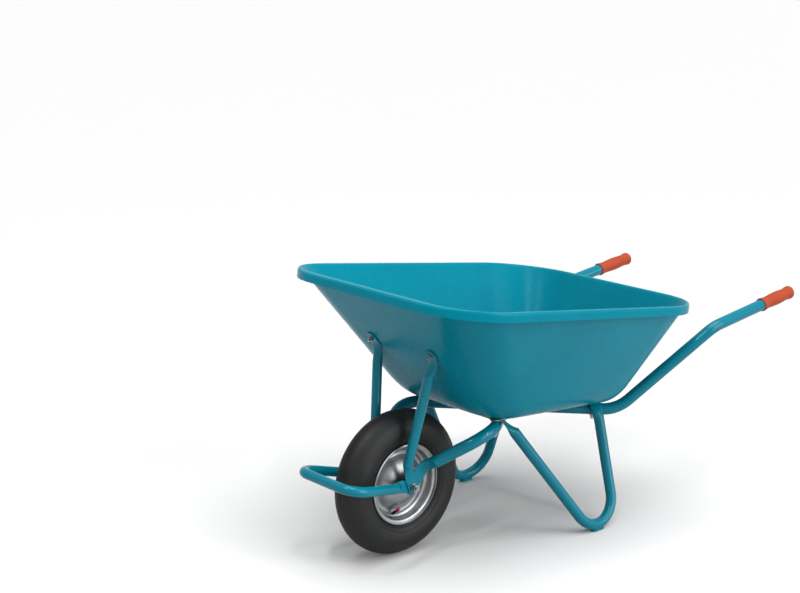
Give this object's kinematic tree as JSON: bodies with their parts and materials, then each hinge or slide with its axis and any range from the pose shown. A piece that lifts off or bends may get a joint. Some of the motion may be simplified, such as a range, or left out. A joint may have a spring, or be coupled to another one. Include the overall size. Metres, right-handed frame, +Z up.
{
  "type": "wheelbarrow",
  "caption": "One-wheeled builder's wheelbarrow with a moulded plastic tray, crossed tube frame, bolted legs, front loop and pneumatic wheel.",
  "frame": {"origin": "on the ground, in the middle of the whole barrow's length and width", "axes": "+X ahead, from the handles to the wheel; +Y to the user's left; +Z up"},
  "size_m": [1.5577, 0.77, 0.7508],
  "materials": {
    "tray_plastic": "satin moulded plastic, teal",
    "frame_paint": "gloss powder coat, teal",
    "galvanised_sheet": "galvanised sheet",
    "rim_galvanised": "pressed zinc-coated steel",
    "zinc_hardware": "bright zinc plated",
    "bearing_steel": "ground steel",
    "tyre": "black tyre rubber",
    "black_rubber": "black rubber",
    "black_plastic": "black moulded plastic",
    "grip_rubber": "soft orange plastic",
    "cap_plastic": "dark red plastic"
  },
  "bodies": {
    "root": {"tray": "tray_plastic", "support_plate": "galvanised_sheet", "centre_weld": "frame_paint", "front_loop": "frame_paint", "axle_sleeve": "rim_galvanised", "axle_bolt": "zinc_hardware", "axle_washers": "zinc_hardware", "axle_nut": "zinc_hardware", "tray_bolts": "zinc_hardware", "tray_bolt_washers": "zinc_hardware", "tray_bolt_nuts": "zinc_hardware", "strut_bolts": "zinc_hardware", "strut_bolt_washers": "zinc_hardware", "strut_bolt_nuts": "zinc_hardware", "frame_tube_left": "frame_paint", "frame_tube_right": "frame_paint", "front_strut_left": "frame_paint", "front_strut_right": "frame_paint", "leg_left": "frame_paint", "leg_right": "frame_paint", "foot_shoe_left": "frame_paint", "foot_shoe_right": "frame_paint", "grip_left": "grip_rubber", "grip_right": "grip_rubber"},
    "wheel": {"tyre": "tyre", "inner_tube": "black_rubber", "rim_half_left": "rim_galvanised", "rim_half_right": "rim_galvanised", "hub_tube": "rim_galvanised", "dust_cap_left": "black_plastic", "dust_cap_right": "black_plastic", "valve_stem": "black_rubber", "valve_cap": "cap_plastic"},
    "roller_cages": {"roller_cage_left": "black_plastic", "roller_cage_right": "black_plastic", "rollers_left": "bearing_steel", "rollers_right": "bearing_steel"}
  },
  "joints": [
    {"name": "wheel_spin", "type": "hinge", "parent": "root", "child": "wheel", "pos_m": [0.518, 0, 0.2], "axis": [0, 1, 0], "continuous": true},
    {"name": "cage_spin", "type": "hinge", "parent": "root", "child": "roller_cages", "pos_m": [0.518, 0, 0.2], "axis": [0, 1, 0], "continuous": true}
  ],
  "couplings": [
    {"joint": "cage_spin", "follows": "wheel_spin", "ratio": 0.6}
  ]
}
